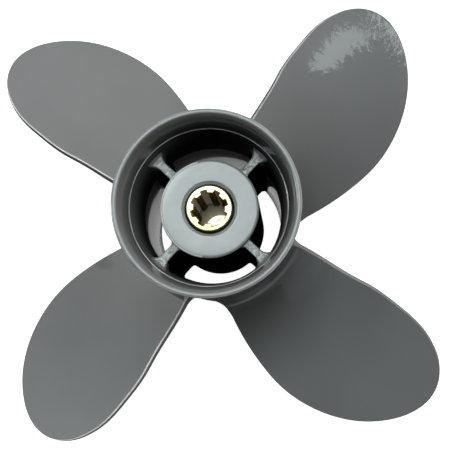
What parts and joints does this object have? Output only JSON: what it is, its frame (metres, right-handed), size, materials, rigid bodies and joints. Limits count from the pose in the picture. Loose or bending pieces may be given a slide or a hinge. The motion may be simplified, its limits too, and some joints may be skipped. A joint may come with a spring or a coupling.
{
  "type": "outboard motor propeller",
  "caption": "Right-hand outboard motor propeller: broad blades on a flared exhaust barrel, inner hub on webs, rubber bushing and splined brass sleeve.",
  "frame": {"origin": "centre of the barrel's front rim, on the plane that the propeller rests on", "axes": "+Z along the shaft towards the flared rear ring; the middle line of the first blade lies at 45 degrees between +X and +Y"},
  "size_m": [0.1812, 0.1812, 0.09],
  "materials": {
    "grey_paint": "glossy grey enamel on cast aluminium",
    "rubber": "matt black",
    "brass": "machined ends, dull brown bore"
  },
  "bodies": {
    "root": {"barrel": "grey_paint", "inner_hub": "grey_paint", "web_1": "grey_paint", "web_2": "grey_paint", "web_3": "grey_paint", "web_4": "grey_paint", "blade_1": "grey_paint", "blade_2": "grey_paint", "blade_3": "grey_paint", "blade_4": "grey_paint", "rubber_bushing": "rubber", "spline_sleeve": "brass"}
  },
  "joints": []
}
